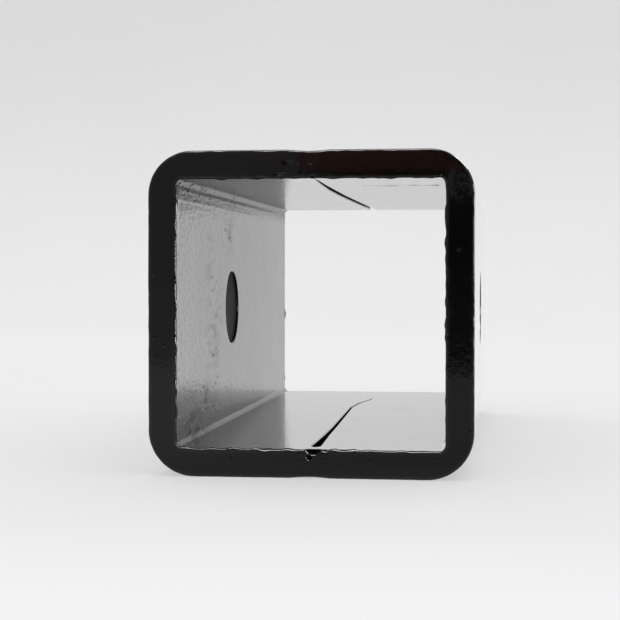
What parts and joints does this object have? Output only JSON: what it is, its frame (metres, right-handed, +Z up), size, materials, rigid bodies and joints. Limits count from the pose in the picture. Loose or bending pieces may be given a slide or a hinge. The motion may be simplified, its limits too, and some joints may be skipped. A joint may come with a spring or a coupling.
{
  "type": "hitch receiver tube",
  "caption": "Straight square receiver tube of black painted steel, welded from channel halves, open at both ends, with a cross pin hole that locks a sliding hitch shank.",
  "frame": {"origin": "on the floor, below the middle of the tube as it lies on one flat side", "axes": "+Y along the tube from its mouth to its rear end, +Z up, +X along the pin hole"},
  "size_m": [0.0636, 0.1524, 0.0635],
  "materials": {
    "black_paint": "gloss",
    "dressed_weld_paint": "satin gloss"
  },
  "bodies": {
    "root": {"left_channel": "black_paint", "right_channel": "black_paint", "top_seam_weld": "dressed_weld_paint", "bottom_seam_weld": "dressed_weld_paint"}
  },
  "joints": []
}
